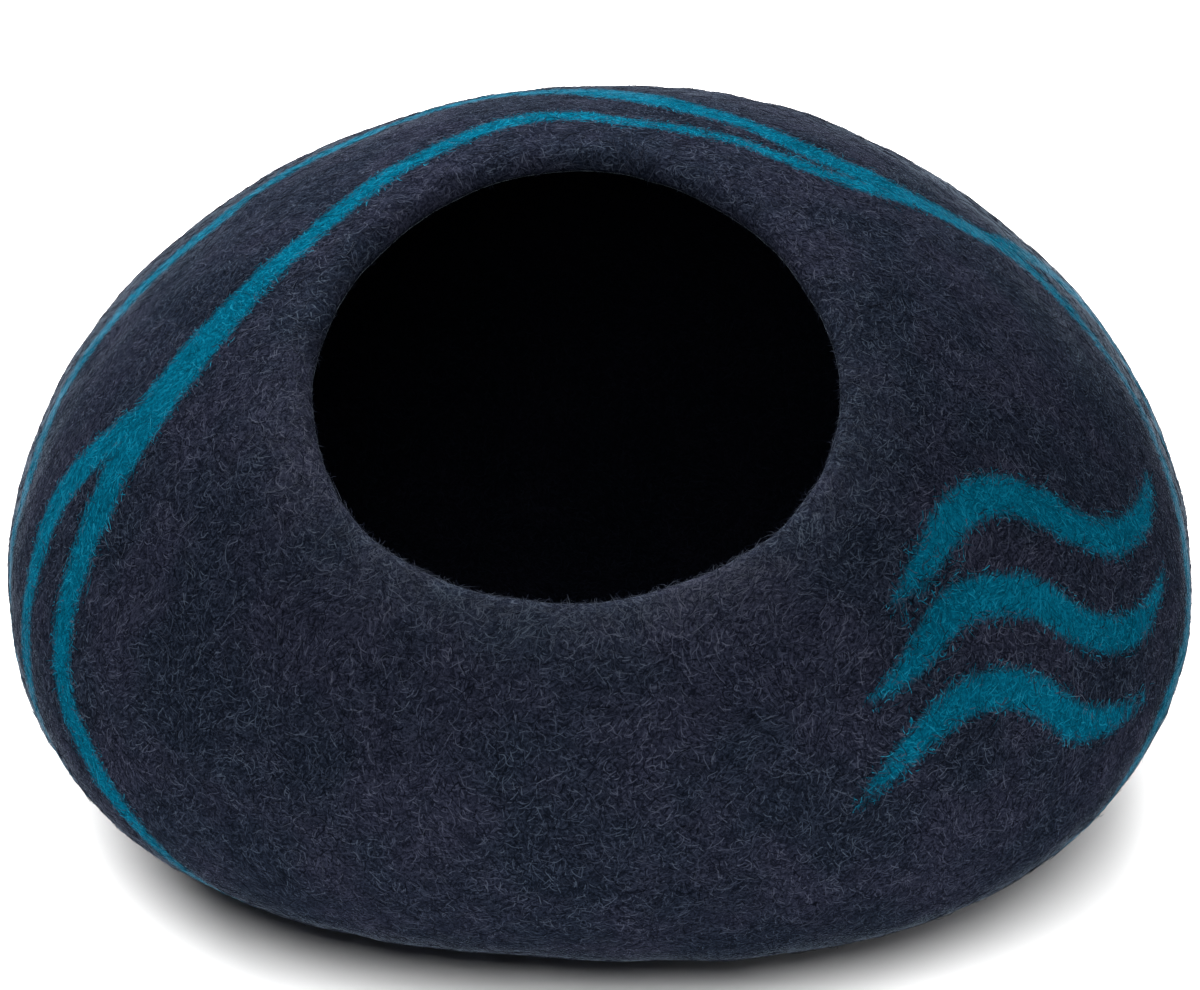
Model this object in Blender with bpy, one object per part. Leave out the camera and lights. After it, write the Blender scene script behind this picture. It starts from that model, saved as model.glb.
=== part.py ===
"""A wet-felted wool cave: one seamless thick shell with a round mouth at its upper front.

Metres, +Z up. The origin is on the floor under the middle of the shell. The mouth faces -Y and up.
"""

import math
from collections import namedtuple

import bmesh
import bpy
from mathutils import Vector

# The outer form: a felted ball that has settled under its own weight.
WIDTH = 0.500
DEPTH = 0.470
HEIGHT = 0.298
WAIST_HEIGHT = 0.110
SQUARE_PLAN = 2.25
CROWN_FLAT_AT_SIDES = 0.036
CROWN_FLAT_AT_BACK = 0.010
BELLY_FILLED = 0.060

# The sole: the round form would reach this far below the floor, which presses it flat.
SOLE_SINK = 0.012
SOLE_BLEND = 0.006

# The wall, and the thicker rounded lip round the mouth.
WALL = 0.009
LIP_WALL = 0.0125
LIP_FADE = math.radians(16)
LIP_REACH = 0.009

# The mouth: a cone about an axis from the middle of the waist, which cuts the form in a near circle.
MOUTH_RISE = math.radians(55.6)
MOUTH_TURN = math.radians(-4.4)
MOUTH_SPREAD = math.radians(32.8)

# The mouth isn't a true circle: each row is a wave in its edge. The start is counted from the top
# of the mouth towards +X.
Wave = namedtuple("Wave", "count height start")
MOUTH_WAVES = (
    Wave(count=1, height=math.radians(1.0), start=math.radians(35)),
    Wave(count=2, height=math.radians(1.1), start=math.radians(-30)),
    Wave(count=3, height=math.radians(0.6), start=math.radians(145)),
)

# Broad swells and hollows that hand felting leaves. Turn is counted from the front (-Y) towards +X,
# rise from the waist up, and reach is the angle at which a swell has mostly faded, all in degrees.
Swell = namedtuple("Swell", "turn rise reach height")
SWELLS = (
    Swell(turn=42, rise=-22, reach=34, height=0.0040),
    Swell(turn=-18, rise=-32, reach=30, height=-0.0030),
    Swell(turn=-58, rise=-24, reach=30, height=0.0022),
    Swell(turn=30, rise=28, reach=26, height=0.0015),
    Swell(turn=-70, rise=30, reach=30, height=0.0010),
    Swell(turn=95, rise=25, reach=34, height=-0.0010),
    Swell(turn=128, rise=-5, reach=30, height=0.0025),
    Swell(turn=172, rise=18, reach=36, height=-0.0020),
    Swell(turn=-150, rise=12, reach=32, height=0.0030),
    Swell(turn=-125, rise=48, reach=26, height=-0.0015),
    Swell(turn=150, rise=52, reach=28, height=0.0020),
)

# How finely the shell is divided, and the small turn between two points that give a slope.
AROUND = 72
RINGS = 26
LIP_STEPS = 6
SLOPE_STEP = math.radians(0.2)
NEARLY_ZERO = 1e-9

FELT_COLOUR = (0.021, 0.027, 0.043, 1.0)
FELT_ROUGHNESS = 0.95

WAIST_MIDDLE = Vector((0, 0, WAIST_HEIGHT))
MOUTH_AXIS = Vector(
    (
        math.cos(MOUTH_RISE) * math.sin(MOUTH_TURN),
        -math.cos(MOUTH_RISE) * math.cos(MOUTH_TURN),
        math.sin(MOUTH_RISE),
    )
)
MOUTH_SIDE = Vector((0, 0, 1)).cross(-MOUTH_AXIS).normalized()
MOUTH_UP = MOUTH_SIDE.cross(-MOUTH_AXIS).normalized()


def clear_scene():
    for obj in list(bpy.data.objects):
        bpy.data.objects.remove(obj, do_unlink=True)


def compass(turn, rise):
    """The unit direction at a turn from the front and a rise above the waist, in degrees."""
    turn = math.radians(turn)
    rise = math.radians(rise)
    flat = math.cos(rise)
    return Vector((flat * math.sin(turn), -flat * math.cos(turn), math.sin(rise)))


def swelling(direction):
    """How far the swells and hollows lift the surface along a direction."""
    total = 0.0
    for swell in SWELLS:
        away = direction.angle(compass(swell.turn, swell.rise)) / math.radians(swell.reach)
        total += swell.height * math.exp(-2 * away**2)
    return total


def pressed(height):
    """The height of a point once the floor has pressed the form flat, with a soft turn at its edge."""
    if height <= -SOLE_BLEND:
        return 0.0
    if height >= SOLE_BLEND:
        return height
    return (height + SOLE_BLEND) ** 2 / (4 * SOLE_BLEND)


def outer_point(direction):
    """The point of the outer surface along a unit direction from the middle of the waist."""
    across = abs(2 * direction.x / WIDTH) ** SQUARE_PLAN
    along = abs(2 * direction.y / DEPTH) ** SQUARE_PLAN
    plan = (across + along) ** (1 / SQUARE_PLAN)
    if direction.z > 0:
        reach = HEIGHT - WAIST_HEIGHT
        sideways = across / max(across + along, NEARLY_ZERO)
        fullness = -CROWN_FLAT_AT_BACK - (CROWN_FLAT_AT_SIDES - CROWN_FLAT_AT_BACK) * sideways
    else:
        reach = WAIST_HEIGHT + SOLE_SINK
        fullness = BELLY_FILLED
    upright = direction.z / reach
    shoulder = math.sin(2 * math.atan2(upright, plan)) ** 2
    radius = (1 + fullness * shoulder) / math.hypot(plan, upright)
    point = WAIST_MIDDLE + direction * (radius + swelling(direction))
    point.z = pressed(point.z)
    return point


def from_mouth(polar, around):
    """The direction at an angle from the mouth's axis, turned about it from its top towards +X."""
    sideways = MOUTH_SIDE * math.sin(around) + MOUTH_UP * math.cos(around)
    return MOUTH_AXIS * math.cos(polar) + sideways * math.sin(polar)


def mouth_edge(around):
    """The angle from the mouth's axis to the last ring of full wall."""
    waves = sum(w.height * math.cos(w.count * around - w.start) for w in MOUTH_WAVES)
    return MOUTH_SPREAD + waves


def outer_frame(polar, around):
    """A point of the outer surface, its outward normal, and the way along it towards the mouth."""
    point = outer_point(from_mouth(polar, around))
    to_mouth = outer_point(from_mouth(polar - SLOPE_STEP, around)) - point
    sideways = outer_point(from_mouth(polar, around + SLOPE_STEP)) - point
    normal = to_mouth.cross(sideways).normalized()
    if normal.dot(point - WAIST_MIDDLE) < 0:
        normal.negate()
    return point, normal, to_mouth.normalized()


def wall_at(polar, around):
    """The wall's thickness, which fades from the lip's to the plain wall's."""
    share = min((polar - mouth_edge(around)) / LIP_FADE, 1.0)
    ease = share * share * (3 - 2 * share)
    return LIP_WALL + (WALL - LIP_WALL) * ease


def ring_polar(ring, around):
    """The angle from the mouth's axis of a ring, from 0 at the lip to RINGS at the far pole."""
    edge = mouth_edge(around)
    return edge + (math.pi - edge) * ring / RINGS


def wall_rings(turns):
    """The rings of the outer face and of the inner face, each list from the lip to the far pole."""
    outer = []
    inner = []
    for ring in range(RINGS):
        outer_ring = []
        inner_ring = []
        for around in turns:
            polar = ring_polar(ring, around)
            point, normal, _ = outer_frame(polar, around)
            outer_ring.append(point)
            inner_ring.append(point - normal * wall_at(polar, around))
        outer.append(outer_ring)
        inner.append(inner_ring)
    return outer, inner


def lip_rings(turns):
    """The rings round the lip's edge, half an ellipse in section, from the outer face to the inner."""
    lip = []
    for step in range(1, LIP_STEPS):
        bend = math.pi * step / LIP_STEPS
        lip_ring = []
        for around in turns:
            point, normal, to_mouth = outer_frame(mouth_edge(around), around)
            across = normal * (math.cos(bend) - 1) * LIP_WALL / 2
            lip_ring.append(point + across + to_mouth * math.sin(bend) * LIP_REACH)
        lip.append(lip_ring)
    return lip


def felt_shell():
    """The whole shell as one closed mesh, with a pole in the sole's outer and inner face."""
    mesh = bmesh.new()
    turns = [2 * math.pi * step / AROUND for step in range(AROUND)]
    outer, inner = wall_rings(turns)
    in_order = outer[::-1] + lip_rings(turns) + inner
    rings = [[mesh.verts.new(point) for point in ring] for ring in in_order]
    for lower, upper in zip(rings, rings[1:]):
        for step in range(AROUND):
            after = (step + 1) % AROUND
            mesh.faces.new((lower[step], lower[after], upper[after], upper[step]))
    far_point = outer_point(-MOUTH_AXIS)
    poles = (
        (far_point, rings[0]),
        (far_point + Vector((0, 0, WALL)), rings[-1]),
    )
    for place, ring in poles:
        pole = mesh.verts.new(place)
        for step in range(AROUND):
            mesh.faces.new((ring[(step + 1) % AROUND], ring[step], pole))
    bmesh.ops.recalc_face_normals(mesh, faces=mesh.faces)
    return mesh


def centred(mesh):
    """Moves the mesh so that the middle of its box is over the origin."""
    for axis in (0, 1):
        places = [vert.co[axis] for vert in mesh.verts]
        middle = (min(places) + max(places)) / 2
        for vert in mesh.verts:
            vert.co[axis] -= middle


def felt_material():
    material = bpy.data.materials.new("navy_wool_felt")
    material.use_nodes = True
    shader = material.node_tree.nodes["Principled BSDF"]
    shader.inputs["Base Color"].default_value = FELT_COLOUR
    shader.inputs["Roughness"].default_value = FELT_ROUGHNESS
    shader.inputs["Metallic"].default_value = 0.0
    return material


def add_felt_shell():
    mesh = felt_shell()
    centred(mesh)
    data = bpy.data.meshes.new("felt_shell")
    mesh.to_mesh(data)
    mesh.free()
    data.shade_smooth()
    data.materials.append(felt_material())
    bpy.context.collection.objects.link(bpy.data.objects.new("felt_shell", data))


clear_scene()
add_felt_shell()
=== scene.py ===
import math
from collections import namedtuple

import bmesh
import bpy
import numpy as np
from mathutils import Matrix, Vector
from mathutils.kdtree import KDTree
from mathutils.noise import noise_vector, seed_set


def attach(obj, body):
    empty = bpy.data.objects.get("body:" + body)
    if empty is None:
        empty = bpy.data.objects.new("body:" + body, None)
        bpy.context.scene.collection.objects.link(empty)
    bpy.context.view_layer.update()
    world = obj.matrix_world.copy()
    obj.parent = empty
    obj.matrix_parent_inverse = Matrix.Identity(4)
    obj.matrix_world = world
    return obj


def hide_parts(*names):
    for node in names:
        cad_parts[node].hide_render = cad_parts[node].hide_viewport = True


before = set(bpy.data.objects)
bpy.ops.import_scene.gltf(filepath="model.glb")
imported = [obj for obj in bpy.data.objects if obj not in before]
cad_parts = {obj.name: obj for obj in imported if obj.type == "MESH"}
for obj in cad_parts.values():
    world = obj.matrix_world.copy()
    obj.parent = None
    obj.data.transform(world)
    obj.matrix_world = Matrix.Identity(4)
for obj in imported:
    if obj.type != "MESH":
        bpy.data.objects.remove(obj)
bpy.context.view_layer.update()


# ---------------------------------------------------------------------------------------------------
# The camera looks down on the mouth from the front through a long lens, 28 degrees above the floor.
# ---------------------------------------------------------------------------------------------------
CAMERA_RISE = math.radians(28)
CAMERA_REACH = 1.7
AIM_HEIGHT = 0.15
PHOTO_WIDTH = 1200
PHOTO_HEIGHT = 990
PHOTO_MIDDLE_ROW = 462.5
PIXELS_A_RADIAN = 4031.6
SENSOR_MM = 36

bpy.ops.object.camera_add(
    location=(
        0,
        -CAMERA_REACH * math.cos(CAMERA_RISE),
        AIM_HEIGHT + CAMERA_REACH * math.sin(CAMERA_RISE),
    ),
    rotation=(math.pi / 2 - CAMERA_RISE, 0, 0),
)
camera = bpy.context.object
camera.name = "front_camera"
camera.data.sensor_fit = "HORIZONTAL"
camera.data.sensor_width = SENSOR_MM
camera.data.lens = PIXELS_A_RADIAN / PHOTO_WIDTH * SENSOR_MM
camera.data.shift_y = (PHOTO_MIDDLE_ROW - PHOTO_HEIGHT / 2) / PHOTO_WIDTH
bpy.context.scene.camera = camera


# ---------------------------------------------------------------------------------------------------
# The shell is one seamless wall of carded wool, laid in layers over both sides of a flat round form,
# wetted, rubbed until it shrank into felt, cut open at the mouth and pulled round while wet. The
# rubbing leaves it softly lumpy all over.
# ---------------------------------------------------------------------------------------------------
DOUBLES_GAP = 0.00002
FLAT_PAIR = math.radians(40)
SMOOTHINGS = 2

# The lumps fade out between these two heights, so that the sole stays flat on the floor.
FLOOR_CLEAR = 0.004
FLOOR_FREE = 0.030

Lumps = namedtuple("Lumps", "name across depth height")
LUMPS = (
    Lumps(name="hand_marks", across=0.045, depth=1, height=0.0022),
    Lumps(name="felted_lumps", across=0.014, depth=2, height=0.0011),
)


def mesh_array(mesh, elements, field, width):
    """One field of all the mesh's points, corners or triangles, as rows of this many numbers."""
    items = getattr(mesh, elements)
    values = np.empty(len(items) * width, np.float32)
    items.foreach_get(field, values)
    return values.reshape(-1, width)


shell = bpy.data.objects.new("wool_shell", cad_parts["felt_shell"].data.copy())
bpy.context.collection.objects.link(shell)
bpy.ops.object.select_all(action="DESELECT")
shell.select_set(True)
bpy.context.view_layer.objects.active = shell
bpy.ops.object.mode_set(mode="EDIT")
bpy.ops.mesh.select_all(action="SELECT")
bpy.ops.mesh.remove_doubles(threshold=DOUBLES_GAP)
bpy.ops.mesh.tris_convert_to_quads(face_threshold=FLAT_PAIR, shape_threshold=FLAT_PAIR)
bpy.ops.object.mode_set(mode="OBJECT")

smoothing = shell.modifiers.new("smoothing", "SUBSURF")
smoothing.levels = SMOOTHINGS
smoothing.render_levels = SMOOTHINGS
bpy.ops.object.modifier_apply(modifier="smoothing")

off_the_floor = shell.vertex_groups.new(name="off_the_floor")
for point in shell.data.vertices:
    share = (point.co.z - FLOOR_CLEAR) / (FLOOR_FREE - FLOOR_CLEAR)
    off_the_floor.add([point.index], min(max(share, 0.0), 1.0), "REPLACE")
for lumps in LUMPS:
    clouds = bpy.data.textures.new(lumps.name, "CLOUDS")
    clouds.noise_scale = lumps.across
    clouds.noise_depth = lumps.depth
    swelling = shell.modifiers.new(lumps.name, "DISPLACE")
    swelling.texture = clouds
    swelling.texture_coords = "LOCAL"
    swelling.strength = lumps.height
    swelling.mid_level = 0.5
    swelling.vertex_group = "off_the_floor"
    bpy.ops.object.modifier_apply(modifier=lumps.name)
for point in shell.data.vertices:
    point.co.z = max(point.co.z, 0.0)
shell.data.shade_smooth()
shell.data.update()


# ---------------------------------------------------------------------------------------------------
# The lines are thin hanks of teal roving, laid by hand on the last layer of navy wool and felted in
# with it, so they're flush with the wall and their edges are feathered.
# ---------------------------------------------------------------------------------------------------
WAIST_MIDDLE = Vector((0, 0, 0.110))
OUT_OF_THE_SHELL = 1.0
STEPS_A_STRETCH = 24
NO_ROVING = -0.02

# Turn is counted from the front (-Y) towards +X and rise from the waist up, both in degrees as seen
# from the waist's middle. Width is the roving's own, in metres.
Laid = namedtuple("Laid", "turn rise width")
STRANDS = {
    "over_the_back": (
        Laid(-58, -16, 0.002),
        Laid(-69, -7, 0.006),
        Laid(-76, 3, 0.010),
        Laid(-82, 12, 0.013),
        Laid(-91, 20, 0.015),
        Laid(-98, 29, 0.015),
        Laid(-105, 38, 0.014),
        Laid(-114, 45, 0.014),
        Laid(-132, 54, 0.014),
        Laid(-156, 63, 0.016),
        Laid(178, 69, 0.019),
        Laid(152, 72, 0.018),
        Laid(128, 70, 0.014),
        Laid(112, 66, 0.014),
        Laid(103, 61, 0.016),
        Laid(99, 54, 0.016),
        Laid(98, 44, 0.016),
        Laid(99, 35, 0.014),
        Laid(96, 29, 0.011),
        Laid(90, 21, 0.009),
        Laid(84, 15, 0.010),
        Laid(79, 10, 0.013),
        Laid(76, 6, 0.016),
        Laid(74, 2, 0.018),
        Laid(70, -1, 0.018),
        Laid(66, -3, 0.017),
        Laid(62, -6, 0.014),
        Laid(56, -11, 0.009),
        Laid(50, -17, 0.002),
    ),
    "behind_the_lip": (
        Laid(-41, -18, 0.005),
        Laid(-45, -14, 0.010),
        Laid(-49, -7, 0.012),
        Laid(-53, -2, 0.013),
        Laid(-57, 3, 0.013),
        Laid(-59, 9, 0.014),
        Laid(-60, 16, 0.017),
        Laid(-62, 24, 0.019),
        Laid(-64, 31, 0.022),
        Laid(-66, 38, 0.021),
        Laid(-70, 46, 0.016),
        Laid(-76, 55, 0.014),
        Laid(-90, 65, 0.013),
        Laid(-120, 75, 0.012),
        Laid(-160, 81, 0.010),
        Laid(165, 83, 0.009),
        Laid(132, 82, 0.008),
        Laid(112, 78, 0.008),
        Laid(102, 72, 0.008),
        Laid(95, 67, 0.009),
        Laid(92, 60, 0.011),
        Laid(95, 53, 0.011),
        Laid(98, 47, 0.008),
    ),
    "left_fork": (
        Laid(-64, 29, 0.012),
        Laid(-66, 25, 0.015),
        Laid(-68, 20, 0.016),
        Laid(-69, 16, 0.016),
        Laid(-68, 11, 0.014),
        Laid(-67, 5, 0.012),
        Laid(-66, -1, 0.011),
        Laid(-64, -6, 0.008),
        Laid(-59, -11, 0.003),
    ),
    "right_edge": (
        Laid(100, 38, 0.006),
        Laid(104, 31, 0.014),
        Laid(105, 24, 0.018),
        Laid(101, 19, 0.017),
        Laid(95, 14, 0.013),
        Laid(89, 8, 0.008),
        Laid(84, 2, 0.003),
    ),
    "high_wave": (
        Laid(30, 20, 0.003),
        Laid(35, 23, 0.011),
        Laid(41, 26, 0.015),
        Laid(47, 26, 0.016),
        Laid(52, 23, 0.016),
        Laid(56, 19, 0.015),
        Laid(61, 16, 0.014),
        Laid(68, 15, 0.011),
        Laid(75, 16, 0.003),
    ),
    "middle_wave": (
        Laid(26, 12, 0.003),
        Laid(31, 15, 0.011),
        Laid(36, 18, 0.015),
        Laid(41, 18, 0.016),
        Laid(46, 16, 0.016),
        Laid(50, 12, 0.015),
        Laid(55, 9, 0.014),
        Laid(61, 8, 0.011),
        Laid(68, 9, 0.003),
    ),
    "low_wave": (
        Laid(24, 3, 0.003),
        Laid(29, 7, 0.010),
        Laid(34, 10, 0.014),
        Laid(39, 10, 0.015),
        Laid(43, 8, 0.015),
        Laid(47, 4, 0.014),
        Laid(52, 2, 0.011),
        Laid(59, 1, 0.003),
    ),
    "back_sweep": (
        Laid(-97, -4, 0.003),
        Laid(-108, 6, 0.011),
        Laid(-122, 18, 0.016),
        Laid(-140, 27, 0.018),
        Laid(-160, 30, 0.018),
        Laid(178, 27, 0.016),
        Laid(160, 18, 0.014),
        Laid(146, 6, 0.011),
        Laid(138, -6, 0.003),
    ),
    "back_fork": (
        Laid(-158, 30, 0.012),
        Laid(-174, 21, 0.012),
        Laid(172, 9, 0.010),
        Laid(164, -4, 0.003),
    ),
}


def compass(laid):
    """The unit direction of a laid point from the waist's middle."""
    turn = math.radians(laid.turn)
    rise = math.radians(laid.rise)
    flat = math.cos(rise)
    return np.array((flat * math.sin(turn), -flat * math.cos(turn), math.sin(rise)))


def between(before, start, end, after, share):
    """A point on the smooth curve from start to end, through its two neighbours as well."""
    bend = 2 * before - 5 * start + 4 * end - after
    twist = -before + 3 * start - 3 * end + after
    return (2 * start + (end - before) * share + bend * share**2 + twist * share**3) / 2


def on_the_shell(strand):
    """Points along a strand's middle, on the shell's outer face, each with its half width."""
    rows = [np.append(compass(laid), laid.width / 2) for laid in strand]
    rows = [rows[0], *rows, rows[-1]]
    found = []
    for four in zip(rows, rows[1:], rows[2:], rows[3:]):
        for step in range(STEPS_A_STRETCH):
            x, y, z, half = between(*four, step / STEPS_A_STRETCH)
            way = Vector((x, y, z)).normalized()
            hit, place, _, _ = shell.ray_cast(WAIST_MIDDLE + way * OUT_OF_THE_SHELL, -way)
            if hit:
                found.append((place, half))
    return found


def unit(vectors):
    """Each row's unit vector."""
    return vectors / np.linalg.norm(vectors, axis=1)[:, None]


shell_points = mesh_array(shell.data, "vertices", "co", 3)
shell_normals = mesh_array(shell.data, "vertices", "normal", 3)
from_waist = unit(shell_points - np.array(WAIST_MIDDLE))
facing_out = (shell_normals * from_waist).sum(1)

# How far each point lies inside the edge of the nearest line, in metres. It's negative outside the
# lines, and on the whole inner face.
roving = np.full(len(shell_points), NO_ROVING)
for strand in STRANDS.values():
    middle_line = on_the_shell(strand)
    nearest = KDTree(len(middle_line))
    for index, (place, _) in enumerate(middle_line):
        nearest.insert(place, index)
    nearest.balance()
    for index in np.flatnonzero(facing_out > 0):
        _, found, away = nearest.find(shell_points[index])
        roving[index] = max(roving[index], middle_line[found][1] - away)
shell.data.attributes.new("roving", "FLOAT", "POINT").data.foreach_set("value", roving)


# ---------------------------------------------------------------------------------------------------
# The wall's finish is heathered: dark navy wool with paler and greyer fibres carded into it, which lie
# curled over each other. A fibre beside a line of roving is teal or navy from end to end.
# ---------------------------------------------------------------------------------------------------
def put(tree, kind, sockets=(), **settings):
    """Adds a shader node with these settings, and sets or links its sockets, given as pairs."""
    node = tree.nodes.new(kind)
    for name, value in settings.items():
        setattr(node, name, value)
    for socket, value in sockets:
        if isinstance(value, bpy.types.NodeSocket):
            tree.links.new(value, node.inputs[socket])
        else:
            node.inputs[socket].default_value = value
    return node


def sum_of(tree, operation, *values):
    """The output of a Math node."""
    return put(tree, "ShaderNodeMath", enumerate(values), operation=operation).outputs[0]


def vector_of(tree, operation, *values):
    """The vector out of a Vector Math node."""
    return put(tree, "ShaderNodeVectorMath", enumerate(values), operation=operation).outputs[0]


def product_of(tree, first, second):
    """The dot product of two vectors."""
    sockets = enumerate((first, second))
    return put(tree, "ShaderNodeVectorMath", sockets, operation="DOT_PRODUCT").outputs["Value"]


def noise(tree, place, scale, detail, roughness):
    """A Noise Texture node."""
    sockets = (("Vector", place), ("Scale", scale), ("Detail", detail), ("Roughness", roughness))
    return put(tree, "ShaderNodeTexNoise", sockets)


def eased(tree, value, start, end):
    """How far a value is from start to end, from 0 to 1 with soft ends."""
    sockets = (("Value", value), ("From Min", start), ("From Max", end))
    return put(tree, "ShaderNodeMapRange", sockets, interpolation_type="SMOOTHSTEP").outputs["Result"]


def blended(tree, share, first, second, kind="RGBA"):
    """The colour or the number between two."""
    mix = tree.nodes.new("ShaderNodeMix")
    mix.data_type = kind
    for name, value in (("Factor", share), ("A", first), ("B", second)):
        socket = next(s for s in mix.inputs if s.name == name and s.enabled)
        if isinstance(value, bpy.types.NodeSocket):
            tree.links.new(value, socket)
        else:
            socket.default_value = value
    return next(s for s in mix.outputs if s.enabled)


def shades(tree, share, stops):
    """The colour at a share along a run of wool shades."""
    ramp = put(tree, "ShaderNodeValToRGB", (("Fac", share),))
    while len(ramp.color_ramp.elements) < len(stops):
        ramp.color_ramp.elements.new(0.5)
    for element, (position, colour) in zip(ramp.color_ramp.elements, stops):
        element.position = position
        element.color = (*colour, 1)
    return ramp.outputs["Color"]


# One layer of fibres: a curved fibre lies on the wall across each cell of a Voronoi texture, at an
# angle part random and part the carding's. Its ends fade out over the two given distances from its
# middle, in cells. Shade and Pull are its own random numbers, stretched out of its cell's colour.
MIDDLE_GREY = (0.5, 0.5, 0.5)
FIBRE_ENDS = (0.85, 0.55)
SHADE_STRETCH = 11.3
PULL_STRETCH = 13.7
laid_fibres = bpy.data.node_groups.new("laid_fibres", "ShaderNodeTree")
for name, kind in (
    ("Place", "NodeSocketVector"),
    ("Facing", "NodeSocketVector"),
    ("Carding", "NodeSocketVector"),
    ("Cells a metre", "NodeSocketFloat"),
    ("Breadth", "NodeSocketFloat"),
    ("Curl", "NodeSocketFloat"),
):
    laid_fibres.interface.new_socket(name, in_out="INPUT", socket_type=kind)
for name in ("Fibre", "Shade", "Pull"):
    laid_fibres.interface.new_socket(name, in_out="OUTPUT", socket_type="NodeSocketFloat")
given = laid_fibres.nodes.new("NodeGroupInput").outputs
result = laid_fibres.nodes.new("NodeGroupOutput").inputs
cell = put(
    laid_fibres,
    "ShaderNodeTexVoronoi",
    (("Vector", given["Place"]), ("Scale", given["Cells a metre"])),
).outputs
from_middle = put(
    laid_fibres,
    "ShaderNodeVectorMath",
    (
        ("Vector", vector_of(laid_fibres, "SUBTRACT", given["Place"], cell["Position"])),
        ("Scale", given["Cells a metre"]),
    ),
    operation="SCALE",
).outputs[0]
lot = vector_of(laid_fibres, "SUBTRACT", cell["Color"], MIDDLE_GREY)
lie = vector_of(laid_fibres, "ADD", lot, given["Carding"])
along = vector_of(laid_fibres, "CROSS_PRODUCT", lie, given["Facing"])
along = vector_of(laid_fibres, "NORMALIZE", along)
across = vector_of(laid_fibres, "CROSS_PRODUCT", along, given["Facing"])
red, green, blue = put(laid_fibres, "ShaderNodeSeparateXYZ", (("Vector", cell["Color"]),)).outputs
reach = product_of(laid_fibres, along, from_middle)
bend = sum_of(laid_fibres, "MULTIPLY", sum_of(laid_fibres, "MULTIPLY", reach, reach), given["Curl"])
bend = sum_of(laid_fibres, "MULTIPLY", bend, sum_of(laid_fibres, "SUBTRACT", blue, 0.5))
off_line = sum_of(
    laid_fibres,
    "ABSOLUTE",
    sum_of(laid_fibres, "ADD", product_of(laid_fibres, across, from_middle), bend),
)
half_breadth = sum_of(laid_fibres, "MULTIPLY", given["Breadth"], given["Cells a metre"])
line = eased(laid_fibres, off_line, half_breadth, 0.0)
ends = eased(laid_fibres, cell["Distance"], *FIBRE_ENDS)
laid_fibres.links.new(sum_of(laid_fibres, "MULTIPLY", line, ends), result["Fibre"])
for name, number, stretch in (("Shade", red, SHADE_STRETCH), ("Pull", green, PULL_STRETCH)):
    mixed_up = sum_of(laid_fibres, "FRACT", sum_of(laid_fibres, "MULTIPLY", number, stretch))
    laid_fibres.links.new(mixed_up, result[name])

# The lip can't be rubbed as hard as the wall, so its wool stays fuzzier, with more wisps that stand
# more upright. Its fibres are also painted paler: a painted highlight where the lip's roll faces the
# light from above, strongest at its low front. The inside is rubbed smooth, with few wisps, and its
# wool is painted darker: painted shade inside the hollow.
MOUTH_WAY = Laid(-4.4, 55.6, 0)
LIP_SPREAD = math.radians(31)
LIP_FUZZ_AND_HIGHLIGHT_REACH = math.radians(5)
LIP_HEIGHTS = (0.19, 0.28)
FUZZ_AND_HIGHLIGHT_AT_HEIGHTS = (1.0, 0.10)
# Painted highlight: the lip's fibres and wisps are lifted by this much shade.
LIP_PAINTED_HIGHLIGHT = 0.36
TURNED_IN = (-0.9, -0.3)
# Painted shade: the inner face's wool and wisps are darkened to this share of their shade.
INSIDE_PAINTED_SHADE = 0.45
from_mouth = np.arccos(from_waist @ compass(MOUTH_WAY))
# Where the lip has more, leaning wisps and where its painted highlight falls, strongest at its low
# front.
fuzzy = np.exp(-((np.maximum(from_mouth - LIP_SPREAD, 0) / LIP_FUZZ_AND_HIGHLIGHT_REACH) ** 2))
fuzzy = fuzzy * np.interp(shell_points[:, 2], LIP_HEIGHTS, FUZZ_AND_HIGHLIGHT_AT_HEIGHTS)
# Where the wall faces in: fewer wisps there, and its wool painted darker as painted shade.
sheltered = np.interp(facing_out, TURNED_IN, (1, 0))
shell.data.attributes.new("fuzzy", "FLOAT", "POINT").data.foreach_set("value", fuzzy)
shell.data.attributes.new("sheltered", "FLOAT", "POINT").data.foreach_set("value", sheltered)
wall_normals = shell.data.attributes.new("facing", "FLOAT_VECTOR", "POINT")
wall_normals.data.foreach_set("vector", shell_normals.ravel())

WOOL_SHADES = (
    (0.00, (0.0018, 0.0023, 0.0046)),
    (0.25, (0.0056, 0.0070, 0.0124)),
    (0.50, (0.0125, 0.0152, 0.0262)),
    (0.75, (0.0265, 0.0318, 0.0505)),
    (1.00, (0.0580, 0.0680, 0.0930)),
)
ROVING_SHADES = (
    (0.00, (0.0004, 0.0330, 0.0560)),
    (0.25, (0.0006, 0.0510, 0.0880)),
    (0.50, (0.0010, 0.0760, 0.1290)),
    (0.75, (0.0020, 0.1110, 0.1800)),
    (1.00, (0.0140, 0.1640, 0.2460)),
)
FibreLayer = namedtuple("FibreLayer", "shift cells_a_metre breadth curl strength")
FIBRE_LAYERS = (
    FibreLayer(shift=(3.1, 0.4, 1.7), cells_a_metre=370, breadth=0.00037, curl=0.7, strength=0.90),
    FibreLayer(shift=(1.3, 2.6, 0.2), cells_a_metre=310, breadth=0.00036, curl=0.8, strength=0.95),
    FibreLayer(shift=(0.5, 1.4, 4.0), cells_a_metre=260, breadth=0.00034, curl=0.9, strength=1.00),
    FibreLayer(shift=(2.8, 3.9, 1.5), cells_a_metre=215, breadth=0.00033, curl=1.0, strength=1.00),
    FibreLayer(shift=(4.9, 2.1, 3.4), cells_a_metre=180, breadth=0.00032, curl=1.1, strength=1.00),
    FibreLayer(shift=(1.9, 4.6, 2.2), cells_a_metre=145, breadth=0.00030, curl=1.2, strength=1.00),
)
SWIRLS_A_METRE = 90.0
SWIRL_REACH = 0.004
DRIFTS_A_METRE = 22.0
CARDING_PULL = 3.0

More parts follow.
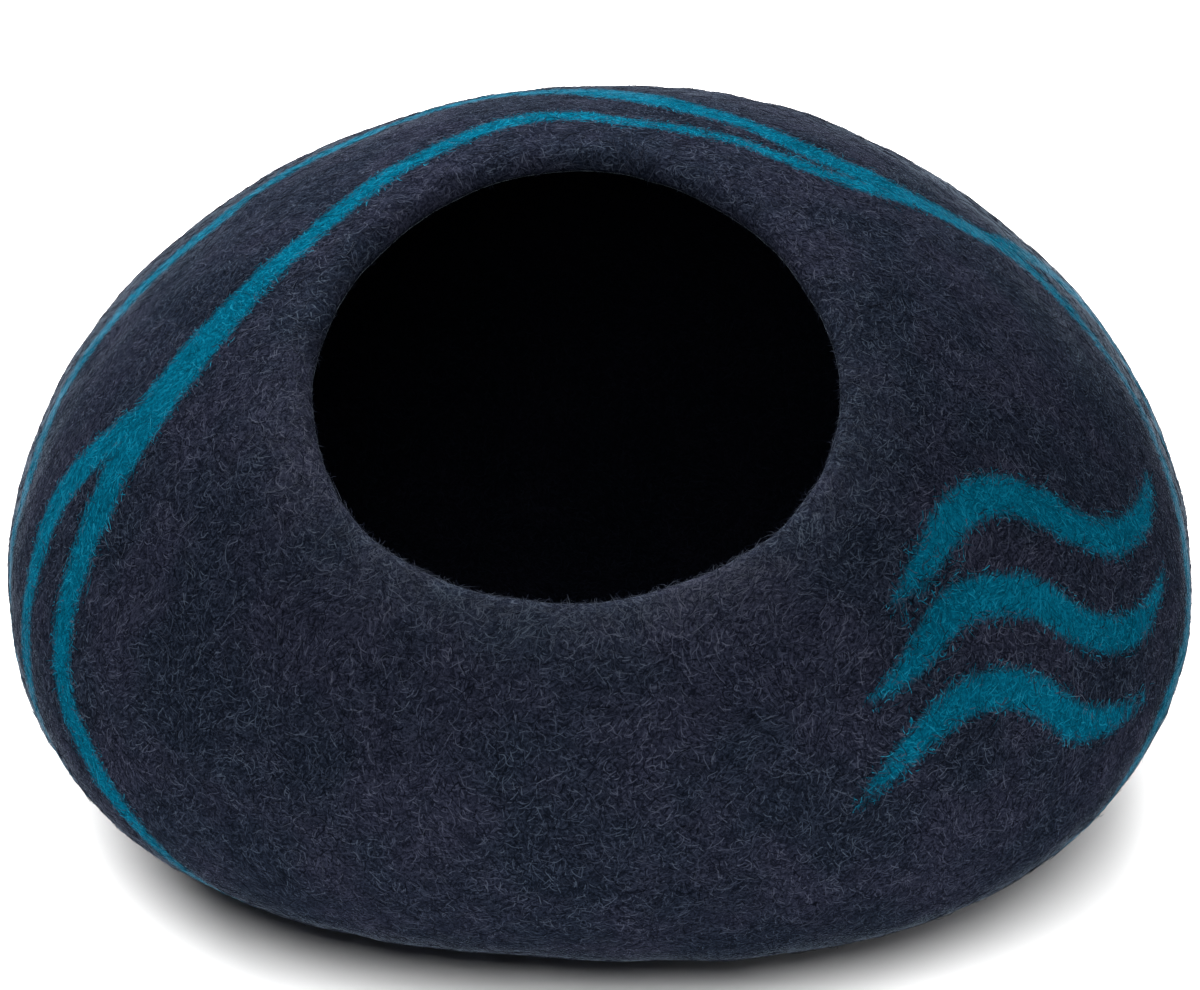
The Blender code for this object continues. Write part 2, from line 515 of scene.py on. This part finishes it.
# The ground under the fibres is part the wall's broad drifts and part its fine mottle, and goes from
# its darker to its paler shade over the middle band of that mix.
MOTTLES_A_METRE = 850.0
DRIFT_SHARE = 0.3
MOTTLE_SHARE = 0.7
MIDDLE_BAND = (0.35, 0.65)
GROUND_SHADES = (0.17, 0.63)
FEATHER = 0.009
NAP_HEIGHT = 0.00030

# No two batches of navy take the dye alike, so the wall drifts between a greener and a redder one.
GREENER_BATCH = (0.93, 1.02, 1.00, 1.0)
REDDER_BATCH = (1.06, 0.98, 1.00, 1.0)

# Felt scatters light so widely that it never shines. Its rim looks pale where the fuzz catches light.
FELT_ROUGHNESS = 0.95
FUZZY_RIM = 0.50
RIM_ROUGHNESS = 0.14
RIM_TINT = (0.60, 0.75, 0.90, 1.0)

felt = bpy.data.materials.new("heathered_felt")
felt.use_nodes = True
tree = felt.node_tree
shader = tree.nodes["Principled BSDF"]
shader.inputs["Roughness"].default_value = FELT_ROUGHNESS
shader.inputs["Specular IOR Level"].default_value = 0.0
shader.inputs["Sheen Weight"].default_value = FUZZY_RIM
shader.inputs["Sheen Roughness"].default_value = RIM_ROUGHNESS
shader.inputs["Sheen Tint"].default_value = RIM_TINT
place = put(tree, "ShaderNodeTexCoord").outputs["Object"]
facing = put(tree, "ShaderNodeAttribute", attribute_name="facing").outputs["Vector"]
roving_here = put(tree, "ShaderNodeAttribute", attribute_name="roving").outputs["Fac"]
inner_face_and_shade_here = put(tree, "ShaderNodeAttribute", attribute_name="sheltered").outputs["Fac"]
lip_fuzz_and_highlight_here = put(tree, "ShaderNodeAttribute", attribute_name="fuzzy").outputs["Fac"]

swirl = noise(tree, place, SWIRLS_A_METRE, detail=2.0, roughness=0.6).outputs["Color"]
swirl = vector_of(tree, "SUBTRACT", swirl, MIDDLE_GREY)
swirled = vector_of(tree, "MULTIPLY_ADD", swirl, (SWIRL_REACH,) * 3, place)
drift = noise(tree, place, DRIFTS_A_METRE, detail=2.0, roughness=0.6).outputs
carding = vector_of(tree, "SUBTRACT", drift["Color"], MIDDLE_GREY)
carding = vector_of(tree, "MULTIPLY", carding, (CARDING_PULL,) * 3)
mottle = noise(tree, place, MOTTLES_A_METRE, detail=1.0, roughness=0.7).outputs["Fac"]
ground = sum_of(tree, "MULTIPLY", mottle, MOTTLE_SHARE)
ground = sum_of(tree, "MULTIPLY_ADD", drift["Fac"], DRIFT_SHARE, ground)
shade = blended(tree, eased(tree, ground, *MIDDLE_BAND), *GROUND_SHADES, kind="FLOAT")
in_roving = eased(tree, roving_here, -FEATHER / 4, FEATHER / 4)
for layer in FIBRE_LAYERS:
    fibres = put(
        tree,
        "ShaderNodeGroup",
        (
            ("Place", vector_of(tree, "ADD", swirled, layer.shift)),
            ("Facing", facing),
            ("Carding", carding),
            ("Cells a metre", layer.cells_a_metre),
            ("Breadth", layer.breadth),
            ("Curl", layer.curl),
        ),
        node_tree=laid_fibres,
    ).outputs
    pulled = sum_of(tree, "MULTIPLY", sum_of(tree, "SUBTRACT", fibres["Pull"], 0.5), FEATHER)
    teal_fibre = sum_of(tree, "GREATER_THAN", sum_of(tree, "ADD", roving_here, pulled), 0.0)
    shown = sum_of(tree, "MULTIPLY", fibres["Fibre"], layer.strength)
    shade = blended(tree, shown, shade, fibres["Shade"], kind="FLOAT")
    in_roving = blended(tree, shown, in_roving, teal_fibre, kind="FLOAT")
# Painted highlight: the lip's fibres are lifted paler.
shade = sum_of(tree, "MULTIPLY_ADD", lip_fuzz_and_highlight_here, LIP_PAINTED_HIGHLIGHT, shade)
# Painted shade: the inner face's wool is darker.
painted_inside_shade = sum_of(tree, "MULTIPLY", shade, INSIDE_PAINTED_SHADE)
shade = blended(tree, inner_face_and_shade_here, shade, painted_inside_shade, kind="FLOAT")
drift_red = put(tree, "ShaderNodeSeparateXYZ", (("Vector", drift["Color"]),)).outputs[0]
batch = blended(tree, eased(tree, drift_red, *MIDDLE_BAND), GREENER_BATCH, REDDER_BATCH)
navy_wool = vector_of(tree, "MULTIPLY", shades(tree, shade, WOOL_SHADES), batch)
teal_wool = shades(tree, shade, ROVING_SHADES)
tree.links.new(blended(tree, in_roving, navy_wool, teal_wool), shader.inputs["Base Color"])
bump = put(
    tree,
    "ShaderNodeBump",
    (("Height", mottle), ("Strength", 1.0), ("Distance", NAP_HEIGHT)),
)
tree.links.new(bump.outputs["Normal"], shader.inputs["Normal"])
shell.data.materials.clear()
shell.data.materials.append(felt)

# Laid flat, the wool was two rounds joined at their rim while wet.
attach(shell, "root")
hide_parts("felt_shell")


# ---------------------------------------------------------------------------------------------------
# The wisps are the loose curled fibres that stand out of the felt where the rubbing didn't catch them:
# fine three-sided strands of wool, each held in the wall by its middle.
# ---------------------------------------------------------------------------------------------------
WISP_SIDES = 3
WISP_THICK = 0.00018
WISP_SIZES = (0.65, 1.35)
WISP_SEED = 7
WISPS_A_PIECE = 12800
WISP_PIECES = ("wisps_1", "wisps_2", "wisps_3", "wisps_4", "wisps_5")
INSIDE_SHARE = 0.03
NO_WISPS_UNDER = 0.012
WISP_FEATHER = 0.0022
MORE_ON_THE_LIP = 3.0
LIP_LEAN = 2.0
SHADE_SPREAD = 2.5
WISP_ROUGHNESS = 0.90
WISP_GLOSS = 0.02

# Wisps that lie near each other were carded the same way, so they tend to lie alike.
CARDED_ACROSS = 0.020
CARDED_PULL = 4.0

# A wisp is made of bends: each turns it by an angle in degrees round a radius in metres. Its lean is
# the usual angle in degrees at which it leaves the wall.
Bend = namedtuple("Bend", "radius turn steps")
Wisp = namedtuple("Wisp", "bends lean share")
WISPS = (
    Wisp((Bend(0.0160, 22, 1), Bend(0.0060, 40, 2)), lean=9, share=0.26),
    Wisp((Bend(0.0110, 48, 3),), lean=9, share=0.32),
    Wisp((Bend(0.0090, 38, 2), Bend(0.0100, -30, 1)), lean=9, share=0.22),
    Wisp((Bend(0.0030, 130, 4),), lean=14, share=0.04),
    Wisp((Bend(0.0160, 20, 1), Bend(0.0080, -40, 2)), lean=30, share=0.16),
)


def spun_wisp(bends):
    """A three-sided strand spun round each bend in turn, in the XY plane, its ends drawn to a point."""
    bpy.ops.object.select_all(action="DESELECT")
    bpy.ops.mesh.primitive_circle_add(
        vertices=WISP_SIDES, radius=WISP_THICK / 2, rotation=(math.pi / 2, 0, 0)
    )
    wisp = bpy.context.object
    bpy.ops.object.transform_apply(rotation=True)
    bpy.ops.object.mode_set(mode="EDIT")
    bpy.ops.mesh.select_all(action="SELECT")
    heading = math.pi / 2
    for bend in bends:
        tip_ring = [point.co for point in bmesh.from_edit_mesh(wisp.data).verts if point.select]
        tip = sum(tip_ring, Vector()) / len(tip_ring)
        right = Vector((math.sin(heading), -math.cos(heading), 0))
        bpy.ops.mesh.spin(
            steps=bend.steps,
            angle=math.radians(bend.turn),
            center=tip + right * math.copysign(bend.radius, bend.turn),
            axis=(0, 0, 1),
        )
        heading -= math.radians(bend.turn)
    bpy.ops.mesh.merge(type="CENTER")
    mesh = bmesh.from_edit_mesh(wisp.data)
    mesh.verts.ensure_lookup_table()
    for point in mesh.verts:
        point.select_set(point.index < WISP_SIDES)
    bpy.ops.mesh.merge(type="CENTER")
    bpy.ops.mesh.select_all(action="SELECT")
    bpy.ops.mesh.normals_make_consistent(inside=False)
    bpy.ops.mesh.quads_convert_to_tris()
    bpy.ops.object.mode_set(mode="OBJECT")
    return wisp


def triangles_of(mesh):
    """The mesh's triangles, as rows of three point numbers."""
    mesh.calc_loop_triangles()
    corners = np.empty(len(mesh.loop_triangles) * 3, np.int32)
    mesh.loop_triangles.foreach_get("vertices", corners)
    return corners.reshape(-1, 3)


patterns = []
for kind in WISPS:
    wisp = spun_wisp(kind.bends)
    points = mesh_array(wisp.data, "vertices", "co", 3)
    patterns.append((points - (points.max(0) + points.min(0)) / 2, triangles_of(wisp.data)))
    bpy.data.objects.remove(wisp, do_unlink=True)

shell_corners = triangles_of(shell.data)
shell_areas = mesh_array(shell.data, "loop_triangles", "area", 1)[:, 0]
heights = shell_points[shell_corners, 2].mean(1)
inner_face_and_shade_faces = sheltered[shell_corners].mean(1)
lip_fuzz_and_highlight_faces = fuzzy[shell_corners].mean(1)
weights = shell_areas * (1 - inner_face_and_shade_faces * (1 - INSIDE_SHARE)) * (heights > NO_WISPS_UNDER)
weights = weights * (1 + MORE_ON_THE_LIP * lip_fuzz_and_highlight_faces)

loose = bpy.data.materials.new("loose_fibres")
loose.use_nodes = True
tree = loose.node_tree
shader = tree.nodes["Principled BSDF"]
shader.inputs["Roughness"].default_value = WISP_ROUGHNESS
shader.inputs["Specular IOR Level"].default_value = WISP_GLOSS
wisp_shade = put(tree, "ShaderNodeAttribute", attribute_name="shade").outputs["Fac"]
of_roving = put(tree, "ShaderNodeAttribute", attribute_name="of_roving").outputs["Fac"]
navy_wool = shades(tree, wisp_shade, WOOL_SHADES)
teal_wool = shades(tree, wisp_shade, ROVING_SHADES)
tree.links.new(blended(tree, of_roving, navy_wool, teal_wool), shader.inputs["Base Color"])

# Each wisp has one colour, so all its triangles lie on one small triangle in its own cell of the map.
CELLS_ACROSS = math.ceil(math.sqrt(WISPS_A_PIECE))
CELL_CORNERS = np.array(((0.15, 0.15), (0.85, 0.15), (0.15, 0.85)))

# Both the draws and the noise that the carding follows are seeded, so each run lays the same wisps.
draws = np.random.default_rng(WISP_SEED)
seed_set(WISP_SEED)
for piece_name in WISP_PIECES:
    triangles = draws.choice(len(weights), WISPS_A_PIECE, p=weights / weights.sum())
    chosen = shell_corners[triangles]
    shares = draws.dirichlet((1, 1, 1), WISPS_A_PIECE)
    roots = (shell_points[chosen] * shares[:, :, None]).sum(1)
    normals = unit((shell_normals[chosen] * shares[:, :, None]).sum(1))
    carded = np.array([noise_vector(Vector(root) / CARDED_ACROSS) for root in roots])
    lies = draws.normal(size=normals.shape) + CARDED_PULL * carded
    alongs = unit(np.cross(normals, lies))
    kinds = draws.choice(len(WISPS), WISPS_A_PIECE, p=[kind.share for kind in WISPS])
    leans = draws.normal(size=WISPS_A_PIECE) * np.radians([WISPS[kind].lean for kind in kinds])
    leans = (leans * (1 + LIP_LEAN * lip_fuzz_and_highlight_faces[triangles]))[:, None]
    alongs, normals = (
        alongs * np.cos(leans) + normals * np.sin(leans),
        normals * np.cos(leans) - alongs * np.sin(leans),
    )
    asides = np.cross(normals, alongs)
    sizes = draws.uniform(*WISP_SIZES, WISPS_A_PIECE)
    wisp_shades = draws.beta(SHADE_SPREAD, SHADE_SPREAD, WISPS_A_PIECE)
    # Painted highlight: wisps on the lip are paler.
    wisp_shades = wisp_shades + LIP_PAINTED_HIGHLIGHT * lip_fuzz_and_highlight_faces[triangles]
    # Painted shade: wisps on the inner face are darker.
    wisp_shades = wisp_shades * (1 - inner_face_and_shade_faces[triangles] * (1 - INSIDE_PAINTED_SHADE))
    depth_in_roving = (roving[chosen] * shares).sum(1)
    wisp_roving = depth_in_roving + draws.normal(0, WISP_FEATHER, WISPS_A_PIECE) > 0
    cells = np.stack(np.divmod(np.arange(WISPS_A_PIECE), CELLS_ACROSS), 1)

    parts = {"points": [], "corners": [], "shade": [], "of_roving": [], "map": []}
    points_so_far = 0
    for kind, (points, corners) in enumerate(patterns):
        those = np.flatnonzero(kinds == kind)
        local = points[None] * sizes[those, None, None]
        spots = roots[those, None]
        for axis, ways in enumerate((alongs, asides, normals)):
            spots = spots + local[:, :, axis : axis + 1] * ways[those, None]
        starts = points_so_far + np.arange(len(those)) * len(points)
        parts["points"].append(spots.reshape(-1, 3))
        parts["corners"].append((corners[None] + starts[:, None, None]).reshape(-1, 3))
        parts["shade"].append(np.repeat(wisp_shades[those], len(points)))
        parts["of_roving"].append(np.repeat(wisp_roving[those], len(points)))
        on_map = (cells[those, None] + CELL_CORNERS[None]) / CELLS_ACROSS
        parts["map"].append(np.repeat(on_map, len(corners), axis=0).reshape(-1, 2))
        points_so_far += len(those) * len(points)
    joined = {name: np.concatenate(rows) for name, rows in parts.items()}
    mesh = bpy.data.meshes.new(piece_name)
    mesh.from_pydata(joined["points"], [], joined["corners"])
    for name in ("shade", "of_roving"):
        attribute = mesh.attributes.new(name, "FLOAT", "POINT")
        attribute.data.foreach_set("value", joined[name].astype(np.float32))
    bake_map = mesh.uv_layers.new(name="OFBake")
    bake_map.data.foreach_set("uv", joined["map"].astype(np.float32).ravel())
    mesh.shade_smooth()
    mesh.materials.append(loose)
    wisps = bpy.data.objects.new(piece_name, mesh)
    bpy.context.collection.objects.link(wisps)
    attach(wisps, "root")


# ---------------------------------------------------------------------------------------------------
# The studio is a plain pale floor under broad soft lights: behind the shell, above it, to its left and
# right and in front, and one for the floor alone.
# ---------------------------------------------------------------------------------------------------
FLOOR_SIDES = 96
FLOOR_RADIUS = 2.2
FLOOR_COLOUR = (0.93, 0.93, 0.93, 1)
FLOOR_ROUGHNESS = 0.9
bpy.ops.mesh.primitive_circle_add(vertices=FLOOR_SIDES, radius=FLOOR_RADIUS, fill_type="NGON")
floor = bpy.context.object
floor.name = "studio_floor"
pale = bpy.data.materials.new("pale_floor")
pale.use_nodes = True
shader = pale.node_tree.nodes["Principled BSDF"]
shader.inputs["Base Color"].default_value = FLOOR_COLOUR
shader.inputs["Roughness"].default_value = FLOOR_ROUGHNESS
shader.inputs["Specular IOR Level"].default_value = 0.0
floor.data.materials.append(pale)

LAMP_AIM = Vector((0, 0, 0.1))
Lamp = namedtuple("Lamp", "name place across watts")
LAMPS = (
    Lamp("back_softbox", (0.0, 2.2, 1.0), 1.4, 80),
    Lamp("top_softbox", (0.1, 1.3, 1.9), 1.6, 50),
    Lamp("left_softbox", (-1.2, 1.0, 1.6), 1.4, 54),
    Lamp("right_softbox", (2.2, -1.0, 2.2), 3.0, 29),
    Lamp("front_fill", (-0.5, -2.2, 2.2), 3.5, 53),
    Lamp("floor_softbox", (0.0, -1.4, 1.7), 1.2, 75),
)
for lamp in LAMPS:
    bpy.ops.object.light_add(type="AREA", location=lamp.place)
    light = bpy.context.object
    light.name = lamp.name
    light.data.shape = "DISK"
    light.data.size = lamp.across
    light.data.energy = lamp.watts
    light.visible_camera = False
    light.rotation_euler = (LAMP_AIM - Vector(lamp.place)).to_track_quat("-Z", "Y").to_euler()

# The floor's own softbox is shielded from the shell, and the front fill from the floor, which keeps
# the shell's shadow short and dark.
floor_only = bpy.data.collections.new("floor_only")
floor_only.objects.link(floor)
bpy.data.objects["floor_softbox"].light_linking.receiver_collection = floor_only
shell_only = bpy.data.collections.new("shell_only")
for piece_name in ("wool_shell", *WISP_PIECES):
    shell_only.objects.link(bpy.data.objects[piece_name])
bpy.data.objects["front_fill"].light_linking.receiver_collection = shell_only

# The room behind the floor is white to the camera and gives almost no light.
ROOM_LIGHT = 0.03
world = bpy.data.worlds.new("white_room")
world.use_nodes = True
tree = world.node_tree
seen = put(tree, "ShaderNodeLightPath").outputs["Is Camera Ray"]
strength = sum_of(tree, "MAXIMUM", seen, ROOM_LIGHT)
tree.nodes["Background"].inputs["Color"].default_value = (1, 1, 1, 1)
tree.links.new(strength, tree.nodes["Background"].inputs["Strength"])
bpy.context.scene.world = world
bpy.context.scene.view_settings.view_transform = "Standard"
